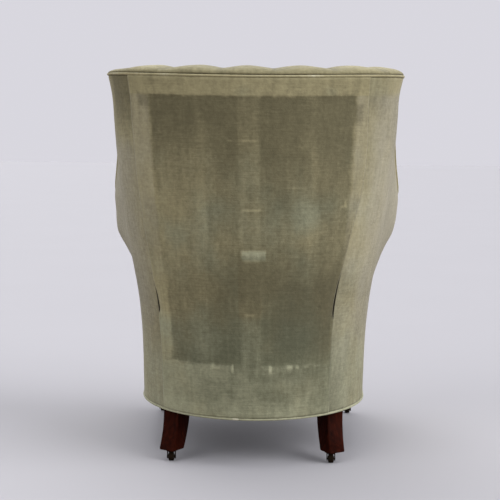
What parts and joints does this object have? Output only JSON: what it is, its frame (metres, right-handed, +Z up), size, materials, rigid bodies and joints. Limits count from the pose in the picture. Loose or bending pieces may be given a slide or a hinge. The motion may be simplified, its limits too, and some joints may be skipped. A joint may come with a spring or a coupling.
{
  "type": "tub chair",
  "caption": "Upholstered tub armchair with a buttoned inside, a plain flared outside back, sprung seat and wooden legs on castors.",
  "frame": {"origin": "on the floor, under the middle of the chair's width and depth", "axes": "+Z up, the sitter faces -Y, +X to the sitter's left; the back is at +Y"},
  "size_m": [0.8072, 0.7782, 1.002],
  "materials": {
    "velvet": "worn velvet, olive green",
    "piping": "velvet-covered cord, rubbed pale",
    "mahogany": "dark polished mahogany",
    "beech": "sawn, unpolished",
    "jute": "coarse woven jute",
    "black_linen": "thin black cotton",
    "spring_wire": "coppered steel wire",
    "castor_iron": "blackened iron",
    "castor_wheel": "hard black vulcanite"
  },
  "bodies": {
    "chair": {"arm_facing_left": "velvet", "arm_facing_right": "velvet", "arm_rail_left": "beech", "arm_rail_right": "beech", "arm_stump_left": "beech", "arm_stump_right": "beech", "back_canvas": "jute", "back_leg_left": "mahogany", "back_leg_right": "mahogany", "back_slat_centre": "beech", "back_slat_left": "beech", "back_slat_right": "beech", "base_piping": "piping", "castor_socket_back_left": "castor_iron", "castor_socket_back_right": "castor_iron", "castor_socket_front_left": "castor_iron", "castor_socket_front_right": "castor_iron", "crest_rail": "beech", "dust_cover": "black_linen", "facing_piping_left": "piping", "facing_piping_right": "piping", "front_border": "velvet", "front_leg_left": "mahogany", "front_leg_right": "mahogany", "inside_arm_left": "velvet", "inside_arm_right": "velvet", "inside_back": "velvet", "outside_arm_left": "velvet", "outside_arm_right": "velvet", "outside_back": "velvet", "rim_piping": "piping", "seat": "velvet", "seat_rail_back": "beech", "seat_rail_front": "beech", "seat_rail_left": "beech", "seat_rail_right": "beech", "seat_spring_1": "spring_wire", "seat_spring_2": "spring_wire", "seat_spring_3": "spring_wire", "seat_spring_4": "spring_wire", "seat_spring_5": "spring_wire", "seat_spring_6": "spring_wire", "seat_spring_7": "spring_wire", "seat_webbing": "jute", "spring_canvas": "jute", "wing_post_left": "beech", "wing_post_right": "beech"},
    "castor_back_left": {"castor_horn_back_left": "castor_iron", "castor_pin_back_left": "castor_iron"},
    "wheel_back_left": {"castor_wheel_back_left": "castor_wheel"},
    "castor_back_right": {"castor_horn_back_right": "castor_iron", "castor_pin_back_right": "castor_iron"},
    "wheel_back_right": {"castor_wheel_back_right": "castor_wheel"},
    "castor_front_left": {"castor_horn_front_left": "castor_iron", "castor_pin_front_left": "castor_iron"},
    "wheel_front_left": {"castor_wheel_front_left": "castor_wheel"},
    "castor_front_right": {"castor_horn_front_right": "castor_iron", "castor_pin_front_right": "castor_iron"},
    "wheel_front_right": {"castor_wheel_front_right": "castor_wheel"}
  },
  "joints": [
    {"name": "swivel_back_left", "type": "hinge", "parent": "chair", "child": "castor_back_left", "pos_m": [0.20267, 0.23721, 0.03], "axis": [0, 0, 1], "continuous": true},
    {"name": "roll_back_left", "type": "hinge", "parent": "castor_back_left", "child": "wheel_back_left", "pos_m": [0.20267, 0.24321, 0.01086], "axis": [1, 0, 0], "continuous": true},
    {"name": "swivel_back_right", "type": "hinge", "parent": "chair", "child": "castor_back_right", "pos_m": [-0.20267, 0.23721, 0.03], "axis": [0, 0, 1], "continuous": true},
    {"name": "roll_back_right", "type": "hinge", "parent": "castor_back_right", "child": "wheel_back_right", "pos_m": [-0.20267, 0.24321, 0.01086], "axis": [1, 0, 0], "continuous": true},
    {"name": "swivel_front_left", "type": "hinge", "parent": "chair", "child": "castor_front_left", "pos_m": [0.27559, -0.3237, 0.03], "axis": [0, 0, 1], "continuous": true},
    {"name": "roll_front_left", "type": "hinge", "parent": "castor_front_left", "child": "wheel_front_left", "pos_m": [0.27559, -0.3177, 0.01086], "axis": [1, 0, 0], "continuous": true},
    {"name": "swivel_front_right", "type": "hinge", "parent": "chair", "child": "castor_front_right", "pos_m": [-0.27559, -0.3237, 0.03], "axis": [0, 0, 1], "continuous": true},
    {"name": "roll_front_right", "type": "hinge", "parent": "castor_front_right", "child": "wheel_front_right", "pos_m": [-0.27559, -0.3177, 0.01086], "axis": [1, 0, 0], "continuous": true}
  ]
}
